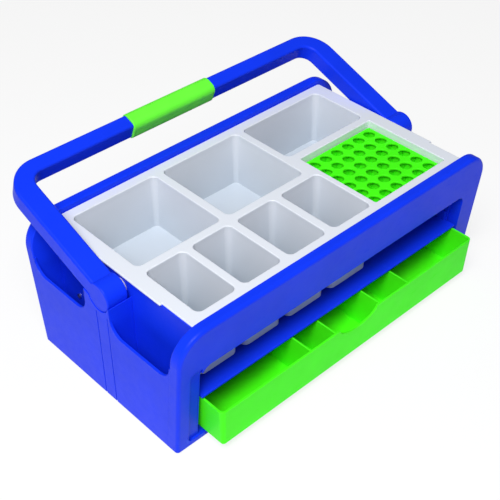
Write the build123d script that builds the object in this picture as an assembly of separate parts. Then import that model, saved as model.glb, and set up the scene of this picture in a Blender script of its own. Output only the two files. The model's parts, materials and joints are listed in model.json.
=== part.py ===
from build123d import *
import math
import os

# Blood tube tray: a leaning-sided carrier with a lift-out insert of wells, a tube rack,
# a drawer under a shelf and a carrying handle. Millimetres, +Z up, +Y to the rear.
# The origin is the middle of the centre pad's underside, on the table.

# ---- driving dimensions: body ----
length = 472.0              # outside, end to end
base_depth = 234.0          # front to rear at the bottom edge
lean_angle = 5.0            # front and rear panels lean outwards by this much
top_z = 165.0               # top of the front and rear panels
stand = 1.5                 # the pads lift the body by this much
panel_depth = 14.0          # front face to open back of the box-section panels
skin = 3.0                  # moulded wall of the body
corner_radius = 34.0        # upper corners of the panels
edge_round = 4.0            # outer edge of the panels
lip_round = 1.5             # inner edge of the panels
opening_past_wall = 3.0     # the front opening reaches past the inner walls
opening_top = 112.0
opening_radius = 12.0
sill_height = 6.0           # front sill under the drawer
recess_width = 15.0         # set-back strip at the left of the front opening
recess_depth = 3.0
recess_radius = 6.0
rib_pitch = 78.0            # stiffening ribs behind the panels
rib_width = 2.5

# ---- driving dimensions: ends, pockets and columns ----
end_depth = 33.0            # outer end face to the inner wall's inner face
scoop_z = 105.0             # lower edge of the pocket mouths
scoop_radius = 18.0
scoop_rise = 18.0
column_front = -20.0
column_rear = 21.0
column_solid_z = 112.0      # the column is hollow up to here
seat_gap = 0.2              # arm to the front of the column when swung over
groove_ys = (1.5, -16.5)
groove_width = 1.6
groove_depth = 0.8
pan_screw_margin = 15.0
boss_radius = 5.0
boss_height = 16.0

# ---- driving dimensions: shelf, pan and runners ----
shelf_z = 63.5              # underside of the shelf
shelf_thickness = 3.0
shelf_lip_height = 13.0
shelf_setback = 1.0
rail_width = 9.0
rail_gap = 0.3              # drawer floor above the rails
pad_radius = 10.0
pad_end_margin = 31.0
pad_side_margin = 33.0
stop_x = 120.0
stop_y = -50.0
stop_size = (14.0, 5.0, 5.0)

# ---- driving dimensions: insert ----
flange_below_top = 5.7
insert_wall = 2.0
flange_rest = 5.0           # how far the flange reaches over the inner walls
flange_gap = 0.5            # flange edge to the panels
flange_radius = 3.5
ledge_width = 5.0
ledge_height = 8.0
well_radius = 7.0
well_draft = 1.1
rack_well_draft = 1.0
rack_well_radius = 2.0
step_depth = 3.0            # the flange is shorter in front of its step
step_y = -68.6
mouth_round = 1.2
well_end_margin = 19.0      # flange's end to the outer wells
well_side_margin = 13.8     # flange's long edge to the wells
front_row_rear = -21.0
rack_rear = 12.7
rear_row_front = -10.0
rear_right_front = 24.0
front_row_splits = ((-138.0, -128.0), (-75.0, -64.0), (-9.0, 2.0), (61.5, 69.0))
rear_row_splits = ((-75.0, -64.0), (51.0, 61.0))
front_floor = 74.5
rack_floor = 95.0
rear_floor = 90.0

# ---- driving dimensions: rack ----
rack_cells = 6
rack_below_flange = 8.5
slat_thickness = 2.0
rack_plate = 2.5            # perforated top of the rack
rack_hole_radius = 7.0
slat_slot_gap = 0.12        # each side of a slat in its slot
rack_gap = 0.7              # rack to the well's floor edge

# ---- driving dimensions: drawer ----
drawer_side_gap = 1.0
rail_height = 6.6           # drawer's floor above the pan
drawer_headroom = 1.8
drawer_wall = 2.4
drawer_draft = 2.5
drawer_corner = 6.0
drawer_open = 27.5          # how far the drawer stands open
drawer_face_set = 0.3       # closed drawer front behind the panel's face
drawer_rear_gap = 1.0
divider_xs = (-74.0, -35.5, 35.5, 85.0)
divider_thickness = 1.8
divider_slot_depth = 1.0
divider_gap = 0.1
divider_below_top = 0.4
notch_half = 30.0           # finger dip in the drawer front
notch_drop = 13.0

# ---- driving dimensions: handle ----
pivot_y = -3.0
pivot_below_top = 23.0
handle_lay = 20.6           # the handle lies back this far above level
hub_inset = 0.5             # hub's face behind the end's face
washer_space = 4.0          # hub to inner wall
bar_width = 18.3
bar_depth = 22.0
bar_reach = 174.0           # pivot to the outer edge of the bar
handle_corner = 38.0
handle_inner_corner = 15.0
hub_radius = 16.5
hub_gap = 0.3
handle_round = 3.0
handle_wall = 3.0
grip_centre = -10.0
grip_half = 61.0
grip_wall = 2.6
grip_round = 8.5
grip_gap = 0.1
grip_screw_x = 44.0
pin_radius = 4.0
pin_clearance = 0.05
pin_head_radius = 6.5
pin_head_thickness = 1.6
pin_end_gap = 1.0
bush_radius = 6.5
press_gap = 0.02
washer_radius = 9.0
washer_gap = 0.4
pivot_boss_radius = 10.0
pivot_boss_height = 4.0
screw_radius = 1.5
screw_head_radius = 2.9
screw_head_height = 1.8
shelf_screw_margin = 29.0
grip_screw_length = 9.0

# ---- derived ----
half_length = length / 2
tan_lean = math.tan(math.radians(lean_angle))
floor_z = stand + skin                      # top of the bottom pan
inner_wall_face = half_length - end_depth
inner_wall_out = inner_wall_face + skin
opening_half = inner_wall_face + opening_past_wall
flange_top = top_z - flange_below_top
flange_half_length = inner_wall_face + flange_rest
rack_top_z = flange_top - rack_below_flange
drawer_half_length = inner_wall_face - drawer_side_gap
drawer_floor_z = floor_z + rail_height
drawer_top_z = shelf_z - drawer_headroom
pivot_z = top_z - pivot_below_top
handle_half_width = half_length - hub_inset
arm_width = handle_half_width - inner_wall_out - washer_space
pad_x = half_length - pad_end_margin
pad_y = base_depth / 2 - pad_side_margin
ledge_z = flange_top - insert_wall          # what the flange rests on
shelf_top = shelf_z + shelf_thickness
far = 600.0                                 # larger than the whole tray


def half_depth(z):
    """Half the outside depth of the body at a height."""
    return base_depth / 2 + (z - stand) * tan_lean


def back_of_panel(z):
    return half_depth(z) - panel_depth


pan_screw_y = back_of_panel(stand) - pan_screw_margin
shelf_screw_y = back_of_panel(shelf_z) - shelf_screw_margin


def well_limits():
    """Every well's x low, x high, y low, y high and floor."""
    end = flange_half_length - well_end_margin
    side = back_of_panel(flange_top) - well_side_margin
    xs = [-end] + [x for pair in front_row_splits for x in pair] + [end]
    front = [(xs[2 * i], xs[2 * i + 1], -side, front_row_rear, front_floor) for i in range(4)]
    rack = (xs[8], xs[9], -side, rack_rear, rack_floor)
    xs = [-end] + [x for pair in rear_row_splits for x in pair] + [end]
    rear = [(xs[2 * i], xs[2 * i + 1], rear_row_front, side, rear_floor) for i in range(2)]
    rear_right = (xs[4], xs[5], rear_right_front, side, rear_floor)
    names = ["front_1", "front_2", "front_3", "front_4", "rack", "rear_left", "rear_middle", "rear_right"]
    return dict(zip(names, front + [rack] + rear + [rear_right]))


wells = well_limits()


def box(x0, x1, y0, y1, z0, z1):
    """A box from its limits."""
    return Pos((x0 + x1) / 2, (y0 + y1) / 2, (z0 + z1) / 2) * Box(x1 - x0, y1 - y0, z1 - z0)


def prism_x(points, x0, x1):
    """A (y, z) outline drawn out along X."""
    face = make_face(Polyline(*points, close=True))
    return Pos(x0, 0, 0) * extrude(Plane.YZ * face, amount=x1 - x0)


def prism_y(sketch, y0, y1):
    """An (x, z) sketch drawn out along Y."""
    return Pos(0, y1, 0) * extrude(Plane.XZ * sketch, amount=y1 - y0)


def rod_x(radius, x0, x1, y, z):
    """A round bar along X."""
    return Pos((x0 + x1) / 2, y, z) * Rot(0, 90, 0) * Cylinder(radius, x1 - x0)


def rod_z(radius, z0, z1, x, y):
    """A round bar along Z."""
    return Pos(x, y, (z0 + z1) / 2) * Cylinder(radius, z1 - z0)


def leaning_slab(outer, inner, z0=stand, z1=top_z, half=half_length):
    """The front slab between two depths behind the leaning front face."""
    points = [
        (-half_depth(z0) + outer, z0),
        (-half_depth(z1) + outer, z1),
        (-half_depth(z1) + inner, z1),
        (-half_depth(z0) + inner, z0),
    ]
    return prism_x(points, -half, half)


# ---- front and rear panels ----

def panel_outline(inset=0.0):
    """Panel outline in (x, z): square below, rounded above."""
    width = length - 2 * inset
    height = top_z - stand - 2 * inset
    sheet = Pos(0, (top_z + stand) / 2) * Rectangle(width, height)
    upper = sheet.vertices().group_by(Axis.Y)[-1]
    return fillet(upper, corner_radius - inset)


def opening_outline(grow=0.0):
    """The front opening in (x, z), for the window and the drawer together."""
    z0 = stand + sill_height - grow
    z1 = opening_top + grow
    sheet = Pos(0, (z0 + z1) / 2) * Rectangle(2 * (opening_half + grow), z1 - z0)
    upper = sheet.vertices().group_by(Axis.Y)[-1]
    return fillet(upper, opening_radius + grow)


def plain_panel():
    """The solid front panel, its inner edge rounded only above the end walls."""
    panel = prism_y(panel_outline(), -far / 2, 0) & leaning_slab(0, panel_depth)
    front = panel.faces().sort_by(lambda f: f.normal_at().Y)[0]
    outer = [e for e in front.edges() if e.center().Z > stand + 1]
    panel = fillet(outer, edge_round)
    back = panel.faces().sort_by(lambda f: f.normal_at().Y)[-1]
    inner = [e for e in back.edges() if e.center().Z > stand + 1]
    lipped = fillet(inner, lip_round)
    upper = box(-far, far, -far, far, scoop_z + scoop_rise, far)
    return (panel - upper) + (lipped & upper)


def panel_cavity():
    return prism_y(panel_outline(skin), -far / 2, 0) & leaning_slab(skin, panel_depth + 1)


def panel_ribs(z0, z1):
    """Upright ribs that stiffen a panel from behind."""
    count = int((inner_wall_face - rib_width) // rib_pitch)
    ribs = Part()
    for i in range(-count, count + 1):
        x = i * rib_pitch
        rib = box(x - rib_width / 2, x + rib_width / 2, -far / 2, 0, z0, z1)
        ribs += rib & leaning_slab(skin / 2, panel_depth)
    return ribs


def back_skin():
    """The back skin of a panel: beside the pockets and along the top."""
    back = leaning_slab(panel_depth - skin, panel_depth)
    back = back & prism_y(panel_outline(skin / 2), -far / 2, 0)
    return back - box(-inner_wall_face, inner_wall_face, -far, far, 0, ledge_z - ledge_height)


def flange_ledge(x_half):
    """The ledge behind the panel that carries the insert's flange."""
    z1 = ledge_z
    z0 = ledge_z - ledge_height
    y = -back_of_panel(z0)
    points = [
        (y - skin, z0), (-back_of_panel(z1) - skin, z1),
        (-back_of_panel(z1) + ledge_width, z1), (-back_of_panel(z1) + ledge_width, z1 - skin),
        (y, z0),
    ]
    return prism_x(points, -x_half, x_half)


def front_panel():
    panel = plain_panel() - panel_cavity()
    rim = prism_y(opening_outline(skin), -far / 2, 0) & leaning_slab(skin / 2, panel_depth)
    ribs = panel_ribs(opening_top, top_z - skin / 2)
    x0 = -opening_half - recess_width
    recess_back = box(x0 - skin, -opening_half, -far / 2, 0, stand, opening_top + skin)
    recess_back = recess_back & leaning_slab(skin / 2, panel_depth)
    panel = panel + rim + ribs + recess_back + back_skin() + flange_ledge(inner_wall_face)
    recess = box(x0, -opening_half + 1, -far / 2, 0, stand + sill_height, opening_top)
    left_edges = recess.edges().filter_by(Axis.Y).group_by(Axis.X)[0]
    recess = fillet(left_edges, recess_radius)
    recess = recess & leaning_slab(-1, recess_depth, 0)
    opening = prism_y(opening_outline(), -far / 2, 0)
    return panel - opening - recess


def rear_panel():
    panel = plain_panel() - panel_cavity()
    panel = panel + panel_ribs(stand + skin / 2, top_z - skin / 2)
    panel = panel + back_skin() + flange_ledge(inner_wall_face)
    return mirror(panel, about=Plane.XZ)


# ---- ends ----

def end_outline(z_top):
    """The end wall between the two panels, in (y, z)."""
    return [
        (-back_of_panel(stand), stand), (-back_of_panel(z_top), z_top),
        (back_of_panel(z_top), z_top), (back_of_panel(stand), stand),
    ]


def scoop(y_column, y_panel):
    """One pocket mouth: everything above its rounded lower edge."""
    z1 = top_z
    sheet = Pos((y_column + y_panel) / 2, (scoop_z + z1) / 2)
    sheet = sheet * Rectangle(abs(y_panel - y_column), z1 - scoop_z)
    lower = sheet.vertices().group_by(Axis.Y)[0]
    sheet = fillet(lower, scoop_radius)
    return Pos(-half_length - 1, 0, 0) * extrude(Plane.YZ * sheet, amount=skin + 2)


def arm_underside(gap):
    """Everything above the laid-back arm's lower face, and a gap below it."""
    across = Pos(0, pivot_y, pivot_z) * Rot(handle_lay, 0, 0)
    return across * box(-far, far, -1, far, -bar_depth / 2 - gap, far)


def swung_over(shape):
    """The same shape in front of the pivot."""
    return Pos(0, 2 * pivot_y, 0) * mirror(shape, about=Plane.XZ)


def hub_seat():
    return rod_x(hub_radius + hub_gap, -half_length - 1, -inner_wall_out, pivot_y, pivot_z)


def left_end_shell():
    x0 = -half_length
    z_wall = scoop_z + scoop_rise
    wall = prism_x(end_outline(z_wall), x0, x0 + skin)
    edge = back_of_panel(z_wall) - 1
    wall = wall - scoop(column_front, -edge) - scoop(column_rear, edge)
    column = box(x0, -inner_wall_out, column_front, column_rear, floor_z, pivot_z + hub_radius)
    hollow = box(
        x0 + skin, -inner_wall_out + 1, column_front + skin, column_rear - skin,
        floor_z - 1, column_solid_z,
    )
    column = column - hollow - hub_seat() - arm_underside(0) - swung_over(arm_underside(seat_gap))
    shell = wall + column
    for side in (-1, 1):
        boss = rod_z(boss_radius, floor_z, floor_z + boss_height,
                     x0 + skin + boss_radius - 1, side * pan_screw_y)
        pilot = rod_z(screw_radius + press_gap, floor_z - 1, floor_z + boss_height - 3,
                      x0 + skin + boss_radius - 1, side * pan_screw_y)
        shell = shell + boss - pilot
    for y in groove_ys:
        shell = shell - box(x0 - 1, x0 + groove_depth, y - groove_width / 2,
                            y + groove_width / 2, 0, pivot_z - hub_radius - 3)
    return shell


def left_inner_wall():
    """The wall beside the wells: it carries the insert's flange and the handle's pin."""
    z1 = ledge_z
    points = [
        (-back_of_panel(floor_z), floor_z), (-back_of_panel(z1 - ledge_height), z1 - ledge_height),
        (-back_of_panel(z1 - ledge_height) + 1, z1),
        (back_of_panel(z1 - ledge_height) - 1, z1),
        (back_of_panel(z1 - ledge_height), z1 - ledge_height), (back_of_panel(floor_z), floor_z),
    ]
    wall = prism_x(points, -inner_wall_out, -inner_wall_face)
    boss = rod_x(pivot_boss_radius, -inner_wall_face - 1, -inner_wall_face + pivot_boss_height,
                 pivot_y, pivot_z)
    bore = rod_x(pin_radius + press_gap, -far, far, pivot_y, pivot_z)
    wall = wall + boss - bore
    for y in (-shelf_screw_y, shelf_screw_y):
        z = shelf_top + shelf_lip_height / 2
        wall = wall - rod_x(screw_radius + press_gap, -far, far, y, z)
    return wall


# ---- shelf, pan, runners ----

def shelf_deck():
    front = half_depth(shelf_z) - shelf_setback
    rear = back_of_panel(shelf_z)
    deck = box(-inner_wall_face, inner_wall_face, -front, rear, shelf_z, shelf_top)
    nose = deck.edges().filter_by(Axis.X).group_by(Axis.Y)[0]
    deck = fillet(nose, shelf_thickness / 2 - 0.2)
    for side in (-1, 1):
        x0 = side * inner_wall_face
        x1 = side * (inner_wall_face - shelf_thickness)
        lip = box(min(x0, x1), max(x0, x1), -back_of_panel(shelf_z) + 1, rear,
                  shelf_top - 1, shelf_top + shelf_lip_height)
        deck = deck + lip
    for y in (-shelf_screw_y, shelf_screw_y):
        z = shelf_top + shelf_lip_height / 2
        deck = deck - rod_x(screw_radius + press_gap, -far, far, y, z)
    return deck


def pan_screw_places():
    x = half_length - skin - boss_radius + 1
    return [(sx * x, sy * pan_screw_y) for sx in (-1, 1) for sy in (-1, 1)]


def bottom_pan():
    y = back_of_panel(stand)
    x = half_length - skin
    pan = box(-x, x, -y, y, stand, floor_z)
    for px, py in pan_screw_places():
        pan = pan - rod_z(screw_radius + press_gap, 0, floor_z + 1, px, py)
        pan = pan - rod_z(screw_head_radius + press_gap, 0, stand + screw_head_height, px, py)
    return pan


def screw_z(px, py, z_head, length_up):
    """A screw driven upwards, its head's underside at z_head."""
    head = rod_z(screw_head_radius, z_head, z_head + screw_head_height, px, py)
    cross = box(px - 1.6, px + 1.6, py - 0.4, py + 0.4, z_head - 1, z_head + 0.8)
    cross = cross + box(px - 0.4, px + 0.4, py - 1.6, py + 1.6, z_head - 1, z_head + 0.8)
    shank = rod_z(screw_radius, z_head + screw_head_height - 0.2, z_head + length_up, px, py)
    return head + shank - cross


def pan_screws():
    return [screw_z(px, py, stand, skin + 11) for px, py in pan_screw_places()]


def shelf_screws():
    """Four screws that hold the shelf's lips to the inner walls, driven from the pockets."""
    screws = []
    z = shelf_top + shelf_lip_height / 2
    for side in (-1, 1):
        for y in (-shelf_screw_y, shelf_screw_y):
            screw = Rot(0, 90, 0) * screw_z(0, 0, -screw_head_height, 7.0)
            screw = Pos(-inner_wall_out, y, z) * screw
            if side > 0:
                screw = mirror(screw, about=Plane.YZ)
            screws.append(screw)
    return screws


def drawer_rail(side):
    y = back_of_panel(floor_z)
    x0 = side * inner_wall_face
    x1 = side * (inner_wall_face - rail_width)
    rail = box(min(x0, x1), max(x0, x1), -y, y, floor_z, drawer_floor_z - rail_gap)
    ends = rail.edges().filter_by(Axis.X).group_by(Axis.Z)[-1]
    return fillet(ends, 1.5)


def drawer_stop(side):
    """A tab under the shelf that catches the drawer's rear wall at full travel."""
    w, d, h = stop_size
    x = side * stop_x
    tab = box(x - w / 2, x + w / 2, stop_y - d / 2, stop_y + d / 2, shelf_z - h, shelf_z)
    nose = tab.edges().filter_by(Axis.X).group_by(Axis.Z)[0].sort_by(Axis.Y)[0]
    return chamfer(nose, 2.5)


def anti_slip_pads():
    places = [(sx * pad_x, sy * pad_y) for sx in (-1, 1) for sy in (-1, 1)] + [(0, 0)]
    pads = []
    for px, py in places:
        pad = rod_z(pad_radius, 0, stand, px, py)
        pads.append(chamfer(pad.edges().sort_by(Axis.Z)[0], 0.5))
    return pads


# ---- insert and rack ----

def well_block(name, top, bottom, grow):
    """A well's tapering rounded block, from top down to bottom."""
    x0, x1, y0, y1, floor = wells[name]
    radius = rack_well_radius if name == "rack" else well_radius
    draft = rack_well_draft if name == "rack" else well_draft
    sheet = RectangleRounded(x1 - x0 + 2 * grow, y1 - y0 + 2 * grow, radius + grow)
    sheet = Pos((x0 + x1) / 2, (y0 + y1) / 2, top) * sheet
    return extrude(sheet, amount=top - bottom, dir=(0, 0, -1), taper=draft)


def flange_outline(shorter):
    depth = 2 * (back_of_panel(flange_top) - flange_gap)
    return RectangleRounded(2 * (flange_half_length - shorter), depth, flange_radius)


def insert_tray():
    flange = extrude(flange_outline(0), insert_wall) - box(-far, far, -far, step_y, -1, far)
    flange = flange + extrude(flange_outline(step_depth), insert_wall)
    shell = Pos(0, 0, ledge_z) * flange
    for name, well in wells.items():
        shell = shell + well_block(name, flange_top - insert_wall / 2, well[-1] - insert_wall, insert_wall)
    for name, well in wells.items():
        shell = shell - well_block(name, flange_top, well[-1], 0)
    mouths = shell.edges().filter_by_position(Axis.Z, flange_top - 0.01, flange_top + 0.01)
    return fillet(mouths, mouth_round)


def rack_box():
    """Plan limits of the rack, from the floor of its well."""
    x0, x1, y0, y1, floor = wells["rack"]
    shrink = (flange_top - floor) * math.tan(math.radians(rack_well_draft)) + rack_gap
    return x0 + shrink, x1 - shrink, y0 + shrink, y1 - shrink, floor


def rack_top_plate():
    """The rack's top, with a round hole over every cell."""
    x0, x1, y0, y1, floor = rack_box()
    plate = extrude(RectangleRounded(x1 - x0, y1 - y0, rack_well_radius), rack_plate)
    plate = Pos((x0 + x1) / 2, (y0 + y1) / 2, rack_top_z - rack_plate) * plate
    xs = slat_lines(x0, x1)
    ys = slat_lines(y0, y1)
    for xa, xb in zip(xs, xs[1:]):
        for ya, yb in zip(ys, ys[1:]):
            plate = plate - rod_z(rack_hole_radius, 0, far, (xa + xb) / 2, (ya + yb) / 2)
    rims = plate.faces().sort_by(Axis.Z)[-1].inner_wires()
    return fillet([e for w in rims for e in w.edges()], rack_plate / 3)


def slat_limits(floor):
    """Bottom, half height and top of the slats under the rack's top."""
    low = floor + 0.1
    high = rack_top_z - rack_plate
    return low, (low + high) / 2, high


def slat_lines(low, high):
    """Centre lines of the slats between two limits."""
    first = low + slat_thickness / 2
    step = (high - low - slat_thickness) / rack_cells
    return [first + i * step for i in range(rack_cells + 1)]


def rack_slats_long():
    """Slats along X, slotted from above."""
    x0, x1, y0, y1, floor = rack_box()
    low, middle, high = slat_limits(floor)
    slats = []
    for y in slat_lines(y0, y1):
        slat = box(x0, x1, y - slat_thickness / 2, y + slat_thickness / 2, low, high)
        for x in slat_lines(x0, x1):
            half = slat_thickness / 2 + slat_slot_gap
            slat = slat - box(x - half, x + half, y - 5, y + 5, middle - slat_slot_gap, far)
        slats.append(slat)
    return slats


def rack_slats_cross():
    """Slats along Y, slotted from below."""
    x0, x1, y0, y1, floor = rack_box()
    low, middle, high = slat_limits(floor)
    slats = []
    for x in slat_lines(x0, x1):
        slat = box(x - slat_thickness / 2, x + slat_thickness / 2, y0, y1, low, high)
        for y in slat_lines(y0, y1):
            half = slat_thickness / 2 + slat_slot_gap
            slat = slat - box(x - 5, x + 5, y - half, y + half, 0, middle + slat_slot_gap)
        slats.append(slat)
    return slats


# ---- drawer ----

def drawer_front_y():
    """Outside face of the drawer's front at its top edge, as it stands open."""
    return -half_depth(drawer_top_z) + drawer_face_set - drawer_open


def drawer_rear_y():
    return back_of_panel(drawer_floor_z) - drawer_rear_gap - drawer_open


def drawer_block(inset, z0, z1):
    """The drawer's outside, or its inside when inset, wider at the top."""
    y0 = drawer_front_y() + inset
    y1 = drawer_rear_y() - inset
    half = drawer_half_length - inset
    radius = max(drawer_corner - inset, 1.0)
    sheet = RectangleRounded(2 * half, y1 - y0, radius)
    sheet = Pos(0, (y0 + y1) / 2, z1) * sheet
    return extrude(sheet, amount=z1 - z0, dir=(0, 0, -1), taper=drawer_draft)


def drawer_tub():
    inner = drawer_block(drawer_wall, drawer_floor_z + drawer_wall, drawer_top_z + 0.01)
    tub = drawer_block(0, drawer_floor_z, drawer_top_z) - inner
    for x in divider_xs:
        half = divider_thickness / 2 + divider_gap
        groove = box(x - half, x + half, -far / 2, far / 2, drawer_floor_z + drawer_wall, far)
        reach = drawer_block(drawer_wall - divider_slot_depth, drawer_floor_z, drawer_top_z + 0.02)
        tub = tub - (groove & reach)
    dip = Pos(0, drawer_top_z + 0.01) * Ellipse(notch_half, notch_drop)
    dip = prism_y(dip, drawer_front_y() - 5, drawer_front_y() + 12)
    tub = tub - dip
    mouth = tub.edges().filter_by_position(Axis.Z, drawer_floor_z - 0.01, drawer_floor_z + 0.01)
    return fillet(mouth, 2.0)


def drawer_divider(x):
    reach = drawer_block(drawer_wall - divider_slot_depth + divider_gap,
                         drawer_floor_z + drawer_wall, drawer_top_z)
    slab = box(x - divider_thickness / 2, x + divider_thickness / 2, -far / 2, far / 2,
               drawer_floor_z + drawer_wall, drawer_top_z - divider_below_top)
    return slab & reach


# ---- handle, drawn flat in (x, reach) and then laid back ----

def laid_back(shape):
    """Turn a handle drawn level (reach along +Y) to its rest angle about the pivot."""
    return Pos(0, pivot_y, pivot_z) * Rot(handle_lay, 0, 0) * shape


def handle_sheet(outer_cut, inner_cut):
    """The bail's U in plan, its outer edge drawn in and its inner edge pushed out."""
    reach = bar_reach - outer_cut
    half = handle_half_width - outer_cut
    outside = Pos(0, reach / 2) * Rectangle(2 * half, reach)
    outside = fillet(outside.vertices().group_by(Axis.Y)[-1], handle_corner - outer_cut)
    inner_reach = bar_reach - bar_width + inner_cut
    inner_half = handle_half_width - arm_width + inner_cut
    inside = Rectangle(2 * inner_half, 2 * inner_reach)
    inside = fillet(inside.vertices().group_by(Axis.Y)[-1], handle_inner_corner + inner_cut)
    return outside - inside


def bar_edges(part):
    """Long edges of the bail's top and bottom faces."""
    top = part.faces().sort_by(Axis.Z)[-1].edges()
    bottom = part.faces().sort_by(Axis.Z)[0].edges()
    return [e for e in list(top) + list(bottom) if e.center().Y > 1]


def handle_bail():
    half_t = bar_depth / 2
    bail = Pos(0, 0, -half_t) * extrude(handle_sheet(0, 0), amount=bar_depth)
    bail = fillet(bar_edges(bail), handle_round)
    channel = Pos(0, 0, -half_t - 1) * extrude(
        handle_sheet(handle_wall, handle_wall), amount=bar_depth - handle_wall + 1
    )
    channel = channel - box(grip_centre - grip_half - 4, grip_centre + grip_half + 4,
                            bar_reach - 40, far, -far, far)
    channel = channel - box(-far, far, -1, hub_radius + 2, -far, far)
    bail = bail - channel
    x0 = handle_half_width - arm_width
    for side in (-1, 1):
        a, b = sorted((side * x0, side * handle_half_width))
        hub = rod_x(hub_radius, a, b, 0, 0)
        rims = hub.edges().filter_by(GeomType.CIRCLE)
        bail = bail + fillet(rims, 1.5)
    for side in (-1, 1):
        a, b = sorted((side * (x0 - 1), side * (handle_half_width - handle_wall / 2 - 1)))
        bail = bail - rod_x(bush_radius + press_gap, a, b, 0, 0)
    for x in (-grip_screw_x, grip_screw_x):
        y = bar_reach - bar_width / 2
        bail = bail - rod_z(screw_radius + press_gap, -half_t - 1, -half_t + grip_screw_length,
                            grip_centre + x, y)
    return laid_back(bail)


def grip_section(grow, radius):
    y = bar_reach - bar_width / 2
    return Pos(y, 0) * RectangleRounded(bar_width + 2 * grow, bar_depth + 2 * grow, radius)


def grip_sleeve():
    outer = extrude(Plane.YZ * grip_section(grip_wall, grip_round), amount=2 * grip_half)
    outer = Pos(grip_centre - grip_half, 0, 0) * outer
    ends = outer.edges().group_by(Axis.X)
    outer = fillet(list(ends[0]) + list(ends[-1]), 1.5)
    inner = extrude(Plane.YZ * grip_section(grip_gap, handle_round + grip_gap), amount=far)
    return outer - Pos(-far / 2, 0, 0) * inner


def grip_upper_half():
    return laid_back(grip_sleeve() & box(-far, far, 0, far, 0.05, far))


def grip_screw_places():
    y = bar_reach - bar_width / 2
    return [(grip_centre + x, y) for x in (-grip_screw_x, grip_screw_x)]


def grip_lower_half():
    half = grip_sleeve() & box(-far, far, 0, far, -far, -0.05)
    low = -bar_depth / 2 - grip_wall
    for px, py in grip_screw_places():
        half = half - rod_z(screw_radius + press_gap, low - 1, 0, px, py)
        half = half - rod_z(screw_head_radius + press_gap, low - 1, low + screw_head_height - 0.6,
                            px, py)
    return laid_back(half)


def grip_screws():
    low = -bar_depth / 2 - grip_wall - 0.6
    return [laid_back(screw_z(px, py, low, grip_screw_length)) for px, py in grip_screw_places()]


def pivot_bush():
    """A bush pressed into the left hub; the pin turns in it."""
    x0 = -handle_half_width + handle_wall / 2 + 1.2
    x1 = -handle_half_width + arm_width
    bush = rod_x(bush_radius, x0, x1, 0, 0)
    bore = rod_x(pin_radius + pin_clearance, x0 + 1, x1 + 1, 0, 0)
    return laid_back(bush - bore)


def pivot_pin():
    """The left pin: a head inside the inner wall, its free end in the hub's bush."""
    head_x = -inner_wall_face + pivot_boss_height
    tip_x = -handle_half_width + handle_wall / 2 + 2.2 + pin_end_gap
    pin = rod_x(pin_radius, tip_x, head_x + 1, pivot_y, pivot_z)
    pin = chamfer(pin.edges().filter_by(GeomType.CIRCLE).sort_by(Axis.X)[0], 0.6)
    return pin + rod_x(pin_head_radius, head_x, head_x + pin_head_thickness, pivot_y, pivot_z)


def pivot_washer():
    """A spacer on the left pin between the inner wall and the hub."""
    x0 = -handle_half_width + arm_width + washer_gap
    ring = rod_x(washer_radius, x0, -inner_wall_out, pivot_y, pivot_z)
    return ring - rod_x(pin_radius + pin_clearance, x0 - 1, -inner_wall_out + 1, pivot_y, pivot_z)


def right_of(shape):
    """The right-hand piece from the left-hand one."""
    return mirror(shape, about=Plane.YZ)


nodes = {
    "front_panel": front_panel(),
    "rear_panel": rear_panel(),
    "left_end_shell": left_end_shell(),
    "right_end_shell": right_of(left_end_shell()),
    "left_inner_wall": left_inner_wall(),
    "right_inner_wall": right_of(left_inner_wall()),
    "shelf_deck": shelf_deck(),
    "bottom_pan": bottom_pan(),
    "drawer_rail_left": drawer_rail(-1),
    "drawer_rail_right": drawer_rail(1),
    "drawer_stop_left": drawer_stop(-1),
    "drawer_stop_right": drawer_stop(1),
    "anti_slip_pads": anti_slip_pads(),
    "pan_screws": pan_screws(),
    "shelf_screws": shelf_screws(),
    "pivot_pin_left": pivot_pin(),
    "pivot_pin_right": right_of(pivot_pin()),
    "pivot_washer_left": pivot_washer(),
    "pivot_washer_right": right_of(pivot_washer()),
    "handle_bail": handle_bail(),
    "pivot_bush_left": pivot_bush(),
    "pivot_bush_right": right_of(pivot_bush()),
    "grip_upper_half": grip_upper_half(),
    "grip_lower_half": grip_lower_half(),
    "grip_screws": grip_screws(),
    "insert_tray": insert_tray(),
    "rack_top_plate": rack_top_plate(),
    "rack_slats_long": rack_slats_long(),
    "rack_slats_cross": rack_slats_cross(),
    "drawer_tub": drawer_tub(),
}
for number, divider_x in enumerate(divider_xs, start=1):
    nodes[f"drawer_divider_{number}"] = drawer_divider(divider_x)

os.makedirs("parts", exist_ok=True)
for name, shape in nodes.items():
    solids = [s for piece in shape for s in piece.solids()] if isinstance(shape, list) else shape.solids()
    whole = Compound(children=list(solids)) if len(solids) > 1 else solids[0]
    export_step(whole, f"parts/{name}.step")
    print(name, len(solids))
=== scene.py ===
import json
import math
import bpy
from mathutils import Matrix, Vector


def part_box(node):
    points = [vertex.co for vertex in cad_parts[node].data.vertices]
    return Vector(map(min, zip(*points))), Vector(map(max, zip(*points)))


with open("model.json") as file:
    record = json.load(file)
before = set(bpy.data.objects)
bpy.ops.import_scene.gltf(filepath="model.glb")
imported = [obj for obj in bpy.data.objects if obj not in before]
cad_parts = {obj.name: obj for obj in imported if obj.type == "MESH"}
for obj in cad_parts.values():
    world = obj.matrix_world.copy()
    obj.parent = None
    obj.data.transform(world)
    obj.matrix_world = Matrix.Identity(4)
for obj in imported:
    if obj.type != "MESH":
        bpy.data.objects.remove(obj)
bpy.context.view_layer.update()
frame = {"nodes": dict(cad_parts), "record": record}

# A blue moulded carrier with a white formed insert, a green tube rack, a green drawer and a
# swinging handle. Metres, in the carrier's own frame: +X to the right, +Y to the rear, +Z up.

MM = 0.001

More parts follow.
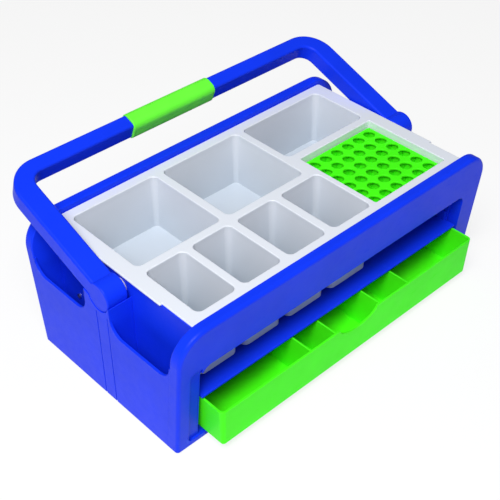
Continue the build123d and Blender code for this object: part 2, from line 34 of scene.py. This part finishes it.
# The tray is seen from the left of its front, looking down on it.
CAMERA_PLACE = Vector((-0.6396, -0.6516, 0.8195))
CAMERA_AZIMUTH = math.radians(-43.42)
CAMERA_ELEVATION = math.radians(39.42)
CAMERA_LENS_MM = 72.7
SENSOR_MM = 36.0
CLIP_START = 0.01

# Plain studio light: a soft box up and to the left, and a dim even room.
KEY_PLACE = Vector((-1.1, -0.8, 2.1))
KEY_SIZE = 1.2
KEY_WATTS = 74.0
ROOM_LIGHT = 0.1
WHITE = (1.0, 1.0, 1.0, 1.0)

FLOOR_SIZE = 8.0
FLOOR_SHADOW_SHARE = 0.2    # how much of the floor's look comes from the light that falls on it
PAPER = (0.9, 0.9, 0.9, 1.0)

# A noise pattern keeps mostly between these values.
NOISE_SPAN = {"From Min": 0.3, "From Max": 0.7}


def srgb(code):
    """A hex colour such as #1C38F5, as the linear colour that the shader takes."""
    parts = [int(code[i:i + 2], 16) / 255 for i in (1, 3, 5)]
    return tuple(c / 12.92 if c <= 0.04045 else ((c + 0.055) / 1.055) ** 2.4 for c in parts) + (1.0,)


def per(size_mm):
    """The scale of a pattern whose marks are that size."""
    return 1 / (size_mm * MM)


def add(tree, kind, inputs=None, **settings):
    """A shader node with its settings, its input values and its input links."""
    node = tree.nodes.new(kind)
    for name, value in settings.items():
        setattr(node, name, value)
    for name, value in (inputs or {}).items():
        if isinstance(value, bpy.types.NodeSocket):
            tree.links.new(value, node.inputs[name])
        else:
            node.inputs[name].default_value = value
    return node


def new_material(name):
    """An empty material and its node tree."""
    material = bpy.data.materials.new(name)
    material.use_nodes = True
    material.node_tree.nodes.clear()
    return material, material.node_tree


# ---- materials; each pattern lies in the piece's own coordinates, so it stays on it when it moves ----

# Where a colour mix takes its share and its two colours, and gives its result.
SHARE, FIRST, SECOND, MIXED = 0, 6, 7, 2


def rubbed_edges(tree, radius_mm, strength):
    """How far an edge is rubbed, and the normal that rounds it."""
    rounded = add(tree, "ShaderNodeBevel", {"Radius": radius_mm * MM}, samples=6).outputs["Normal"]
    face = add(tree, "ShaderNodeNewGeometry").outputs["Normal"]
    along = add(tree, "ShaderNodeVectorMath", {0: rounded, 1: face}, operation="DOT_PRODUCT")
    rubbed = add(tree, "ShaderNodeMapRange", {
        "Value": along.outputs["Value"],
        "From Min": 0.99, "From Max": 0.8, "To Min": 0.0, "To Max": strength,
    })
    return rubbed.outputs["Result"], rounded


def moulded_polypropylene(name, hex_colour, hex_worn, roughness):
    """Injection-moulded polypropylene: a clean satin gloss, broken by a fine eroded grain, a faint
    cloudiness where the melt flowed, a few hairline scuffs and slightly paler, rubbed edges."""
    grain_mm = 1.2      # the real grain is 0.3 mm, drawn coarser to show
    flow_mm = 60
    rub_mm = 9
    scuff_mm = 14
    material, tree = new_material(name)
    place = add(tree, "ShaderNodeTexCoord").outputs["Object"]
    grain = add(tree, "ShaderNodeTexNoise", {"Vector": place, "Scale": per(grain_mm), "Detail": 3.0})
    flow = add(tree, "ShaderNodeTexNoise", {"Vector": place, "Scale": per(flow_mm), "Detail": 2.0})
    rub = add(tree, "ShaderNodeTexNoise", {"Vector": place, "Scale": per(rub_mm), "Detail": 5.0})
    drawn_out = add(tree, "ShaderNodeMapping", {"Vector": place, "Scale": (1.0, 9.0, 3.0)})
    scuff = add(tree, "ShaderNodeTexNoise", {
        "Vector": drawn_out.outputs["Vector"], "Scale": per(scuff_mm), "Detail": 6.0,
    })
    scuffed = add(tree, "ShaderNodeMapRange", {
        "Value": scuff.outputs["Fac"],
        "From Min": 0.62, "From Max": 0.72, "To Min": 0.0, "To Max": 0.1,
    })
    rubbed, rounded = rubbed_edges(tree, 0.8, 0.5)
    worn = add(tree, "ShaderNodeMath", {0: rubbed, 1: rub.outputs["Fac"]}, operation="MULTIPLY")
    tone = add(tree, "ShaderNodeMapRange", {
        "Value": flow.outputs["Fac"], **NOISE_SPAN, "To Min": 0.95, "To Max": 1.04,
    })
    body = add(tree, "ShaderNodeHueSaturation", {
        "Value": tone.outputs["Result"], "Color": srgb(hex_colour),
    })
    colour = add(tree, "ShaderNodeMix", {
        SHARE: worn.outputs[0], FIRST: body.outputs["Color"], SECOND: srgb(hex_worn),
    }, data_type="RGBA")
    cloudy = add(tree, "ShaderNodeMapRange", {
        "Value": rub.outputs["Fac"], **NOISE_SPAN, "To Min": roughness - 0.04, "To Max": roughness + 0.05,
    })
    rough = add(tree, "ShaderNodeMath", {
        0: cloudy.outputs["Result"], 1: scuffed.outputs["Result"],
    }, operation="ADD")
    bump = add(tree, "ShaderNodeBump", {
        "Height": grain.outputs["Fac"], "Strength": 0.12, "Distance": 0.05 * MM, "Normal": rounded,
    })
    surface = add(tree, "ShaderNodeBsdfPrincipled", {
        "Base Color": colour.outputs[MIXED], "Roughness": rough.outputs[0], "IOR": 1.49,
        "Specular IOR Level": 0.1, "Normal": bump.outputs["Normal"],
    })
    add(tree, "ShaderNodeOutputMaterial", {"Surface": surface.outputs["BSDF"]})
    return material


def formed_polystyrene(name, hex_colour, hex_well_shade, roughness):
    """Vacuum-formed white polystyrene sheet: smooth and glossy, with a slow orange-peel wave, and a
    painted shade that greys the sheet down in the wells, darker towards their bottoms."""
    peel_mm = 5
    dust_mm = 25
    shade_from_mm, shade_to_mm = 10, 90       # where the painted well shade starts and ends, below the flange's top
    material, tree = new_material(name)
    place = add(tree, "ShaderNodeTexCoord").outputs["Object"]
    peel = add(tree, "ShaderNodeTexNoise", {"Vector": place, "Scale": per(peel_mm), "Detail": 2.0})
    dust = add(tree, "ShaderNodeTexNoise", {"Vector": place, "Scale": per(dust_mm), "Detail": 4.0})
    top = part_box("insert_tray")[1].z
    height = add(tree, "ShaderNodeSeparateXYZ", {"Vector": place})
    # painted shade: the sheet is mixed towards a grey shade colour lower down in the wells
    well_shade = add(tree, "ShaderNodeMapRange", {
        "Value": height.outputs["Z"],
        "From Min": top - shade_to_mm * MM, "From Max": top - shade_from_mm * MM,
        "To Min": 0.75, "To Max": 0.0,
    })
    rubbed, rounded = rubbed_edges(tree, 0.6, 0.3)
    # the sheet's own white with the painted well shade mixed in
    sheet = add(tree, "ShaderNodeMix", {
        SHARE: well_shade.outputs["Result"], FIRST: srgb(hex_colour), SECOND: srgb(hex_well_shade),
    }, data_type="RGBA")
    colour = add(tree, "ShaderNodeMix", {
        SHARE: rubbed, FIRST: sheet.outputs[MIXED], SECOND: WHITE,
    }, data_type="RGBA")
    rough = add(tree, "ShaderNodeMapRange", {
        "Value": dust.outputs["Fac"], **NOISE_SPAN, "To Min": roughness - 0.03, "To Max": roughness + 0.06,
    })
    bump = add(tree, "ShaderNodeBump", {
        "Height": peel.outputs["Fac"], "Strength": 0.15, "Distance": 0.06 * MM, "Normal": rounded,
    })
    surface = add(tree, "ShaderNodeBsdfPrincipled", {
        "Base Color": colour.outputs[MIXED], "Roughness": rough.outputs["Result"], "IOR": 1.59,
        "Normal": bump.outputs["Normal"],
    })
    add(tree, "ShaderNodeOutputMaterial", {"Surface": surface.outputs["BSDF"]})
    return material


def soft_touch_grip(name, hex_colour, hex_worn):
    """Moulded thermoplastic rubber: a dry, even, matt skin with a fine sand texture."""
    sand_mm = 1.0       # the real texture is 0.4 mm, drawn coarser to show
    wear_mm = 30
    material, tree = new_material(name)
    place = add(tree, "ShaderNodeTexCoord").outputs["Object"]
    sand = add(tree, "ShaderNodeTexNoise", {"Vector": place, "Scale": per(sand_mm), "Detail": 4.0})
    wear = add(tree, "ShaderNodeTexNoise", {"Vector": place, "Scale": per(wear_mm), "Detail": 3.0})
    rubbed, rounded = rubbed_edges(tree, 1.0, 0.4)
    tone = add(tree, "ShaderNodeMapRange", {
        "Value": wear.outputs["Fac"], **NOISE_SPAN, "To Min": 0.94, "To Max": 1.03,
    })
    body = add(tree, "ShaderNodeHueSaturation", {
        "Value": tone.outputs["Result"], "Color": srgb(hex_colour),
    })
    colour = add(tree, "ShaderNodeMix", {
        SHARE: rubbed, FIRST: body.outputs["Color"], SECOND: srgb(hex_worn),
    }, data_type="RGBA")
    rough = add(tree, "ShaderNodeMapRange", {
        "Value": wear.outputs["Fac"], **NOISE_SPAN, "To Min": 0.52, "To Max": 0.62,
    })
    bump = add(tree, "ShaderNodeBump", {
        "Height": sand.outputs["Fac"], "Strength": 0.35, "Distance": 0.1 * MM, "Normal": rounded,
    })
    surface = add(tree, "ShaderNodeBsdfPrincipled", {
        "Base Color": colour.outputs[MIXED], "Roughness": rough.outputs["Result"], "IOR": 1.5,
        "Sheen Weight": 0.1, "Sheen Roughness": 0.4, "Normal": bump.outputs["Normal"],
    })
    add(tree, "ShaderNodeOutputMaterial", {"Surface": surface.outputs["BSDF"]})
    return material


def natural_nylon(name):
    """Moulded natural nylon: waxy off-white, a little uneven."""
    cloud_mm = 4
    material, tree = new_material(name)
    place = add(tree, "ShaderNodeTexCoord").outputs["Object"]
    cloud = add(tree, "ShaderNodeTexNoise", {"Vector": place, "Scale": per(cloud_mm), "Detail": 3.0})
    uneven = add(tree, "ShaderNodeMapRange", {
        "Value": cloud.outputs["Fac"], **NOISE_SPAN, "To Min": 0.0, "To Max": 1.0,
    })
    colour = add(tree, "ShaderNodeMix", {
        SHARE: uneven.outputs["Result"], FIRST: srgb("#E2DFD3"), SECOND: srgb("#D2CDBC"),
    }, data_type="RGBA")
    bump = add(tree, "ShaderNodeBump", {
        "Height": cloud.outputs["Fac"], "Strength": 0.1, "Distance": 0.05 * MM,
    })
    surface = add(tree, "ShaderNodeBsdfPrincipled", {
        "Base Color": colour.outputs[MIXED], "Roughness": 0.38, "IOR": 1.53,
        "Normal": bump.outputs["Normal"],
    })
    add(tree, "ShaderNodeOutputMaterial", {"Surface": surface.outputs["BSDF"]})
    return material


def die_cut_rubber(name):
    """Die-cut black rubber: matt, with a fine pebbled skin and a little dust."""
    pebble_mm = 0.9
    dust_mm = 6
    material, tree = new_material(name)
    place = add(tree, "ShaderNodeTexCoord").outputs["Object"]
    pebble = add(tree, "ShaderNodeTexNoise", {"Vector": place, "Scale": per(pebble_mm), "Detail": 4.0})
    dust = add(tree, "ShaderNodeTexNoise", {"Vector": place, "Scale": per(dust_mm), "Detail": 5.0})
    dusty = add(tree, "ShaderNodeMapRange", {
        "Value": dust.outputs["Fac"], **NOISE_SPAN, "To Min": 0.0, "To Max": 0.4,
    })
    colour = add(tree, "ShaderNodeMix", {
        SHARE: dusty.outputs["Result"], FIRST: srgb("#1B1B1D"), SECOND: srgb("#3A393A"),
    }, data_type="RGBA")
    bump = add(tree, "ShaderNodeBump", {
        "Height": pebble.outputs["Fac"], "Strength": 0.4, "Distance": 0.1 * MM,
    })
    surface = add(tree, "ShaderNodeBsdfPrincipled", {
        "Base Color": colour.outputs[MIXED], "Roughness": 0.8, "IOR": 1.52,
        "Normal": bump.outputs["Normal"],
    })
    add(tree, "ShaderNodeOutputMaterial", {"Surface": surface.outputs["BSDF"]})
    return material


def turned_steel(name, hex_colour, roughness, ring_mm):
    """Turned steel: bright metal with fine rings from the tool round its axis."""
    tarnish_mm = 3
    material, tree = new_material(name)
    place = add(tree, "ShaderNodeTexCoord").outputs["Object"]
    drawn_out = add(tree, "ShaderNodeMapping", {"Vector": place, "Scale": (8.0, 1.0, 1.0)})
    rings = add(tree, "ShaderNodeTexNoise", {
        "Vector": drawn_out.outputs["Vector"], "Scale": per(ring_mm), "Detail": 2.0,
    })
    tarnish = add(tree, "ShaderNodeTexNoise", {"Vector": place, "Scale": per(tarnish_mm), "Detail": 4.0})
    dulled = add(tree, "ShaderNodeMapRange", {
        "Value": tarnish.outputs["Fac"], **NOISE_SPAN, "To Min": 0.0, "To Max": 0.35,
    })
    colour = add(tree, "ShaderNodeMix", {
        SHARE: dulled.outputs["Result"], FIRST: srgb(hex_colour), SECOND: srgb("#8E8B86"),
    }, data_type="RGBA")
    rough = add(tree, "ShaderNodeMapRange", {
        "Value": tarnish.outputs["Fac"], **NOISE_SPAN,
        "To Min": roughness - 0.05, "To Max": roughness + 0.1,
    })
    bump = add(tree, "ShaderNodeBump", {
        "Height": rings.outputs["Fac"], "Strength": 0.2, "Distance": 0.03 * MM,
    })
    surface = add(tree, "ShaderNodeBsdfPrincipled", {
        "Base Color": colour.outputs[MIXED], "Metallic": 1.0, "Roughness": rough.outputs["Result"],
        "Normal": bump.outputs["Normal"],
    })
    add(tree, "ShaderNodeOutputMaterial", {"Surface": surface.outputs["BSDF"]})
    return material


MATERIALS = {
    "body_blue": moulded_polypropylene("polypropylene_blue_moulded", "#1036E8", "#3F5AF2", 0.36),
    "tray_green": moulded_polypropylene("polypropylene_green_moulded", "#48FA18", "#7CFC5C", 0.38),
    "grip_green": soft_touch_grip("soft_rubber_green_grip", "#66F834", "#84FA68"),
    # 98A6B2 is a painted shade colour for the lower well walls, not the sheet's own colour
    "insert_white": formed_polystyrene("polystyrene_white_formed", "#DCE1EA", "#98A6B2", 0.34),
    "pad_rubber": die_cut_rubber("rubber_black_die_cut"),
    "screw_steel": turned_steel("steel_zinc_plated", "#C9CACC", 0.3, 1.5),
    "pin_steel": turned_steel("stainless_steel_turned", "#CFCFD0", 0.25, 2.0),
    "washer_nylon": natural_nylon("nylon_natural_moulded"),
}

for part in frame["record"]["subparts"]:
    node = frame["nodes"][part["node"]]
    for i in range(len(node.material_slots)):
        node.material_slots[i].material = MATERIALS[part["material_slot"]]


# ---- floor, light, camera ----

def studio_floor():
    """Pale paper that stays white to the camera and keeps the tray's soft shadow."""
    bpy.ops.mesh.primitive_plane_add(size=FLOOR_SIZE, location=(0, 0, 0))
    floor = bpy.context.object
    floor.name = "studio_floor"
    material, tree = new_material("floor_pale_paper")
    paper = add(tree, "ShaderNodeBsdfDiffuse", {"Color": PAPER})
    glow = add(tree, "ShaderNodeEmission", {"Color": WHITE, "Strength": 1.0})
    rays = add(tree, "ShaderNodeLightPath")
    share = add(tree, "ShaderNodeMath", {
        0: rays.outputs["Is Camera Ray"], 1: 1 - FLOOR_SHADOW_SHARE,
    }, operation="MULTIPLY")
    look = add(tree, "ShaderNodeMixShader", {0: share.outputs[0], 1: paper.outputs[0], 2: glow.outputs[0]})
    add(tree, "ShaderNodeOutputMaterial", {"Surface": look.outputs[0]})
    floor.data.materials.append(material)


def white_room():
    """A background that is white to the camera and lights the tray only dimly."""
    world = bpy.data.worlds.new("white_room")
    bpy.context.scene.world = world
    world.use_nodes = True
    tree = world.node_tree
    tree.nodes.clear()
    rays = add(tree, "ShaderNodeLightPath")
    strength = add(tree, "ShaderNodeMapRange", {
        "Value": rays.outputs["Is Camera Ray"], "To Min": ROOM_LIGHT, "To Max": 1.0,
    })
    sky = add(tree, "ShaderNodeBackground", {"Color": WHITE, "Strength": strength.outputs[0]})
    add(tree, "ShaderNodeOutputWorld", {"Surface": sky.outputs[0]})


def soft_box():
    """A square lamp that faces the tray."""
    lamp = bpy.data.lights.new("soft_box", "AREA")
    lamp.energy = KEY_WATTS
    lamp.size = KEY_SIZE
    box = bpy.data.objects.new("soft_box", lamp)
    bpy.context.scene.collection.objects.link(box)
    box.location = KEY_PLACE
    box.rotation_euler = (-KEY_PLACE).to_track_quat("-Z", "Y").to_euler()


def camera():
    lens = bpy.data.cameras.new("camera")
    lens.lens = CAMERA_LENS_MM
    lens.sensor_width = SENSOR_MM
    lens.clip_start = CLIP_START
    eye = bpy.data.objects.new("camera", lens)
    bpy.context.scene.collection.objects.link(eye)
    eye.location = CAMERA_PLACE
    eye.rotation_euler = (math.pi / 2 - CAMERA_ELEVATION, 0, CAMERA_AZIMUTH)
    bpy.context.scene.camera = eye


studio_floor()
white_room()
soft_box()
camera()
bpy.context.scene.view_settings.view_transform = "Standard"
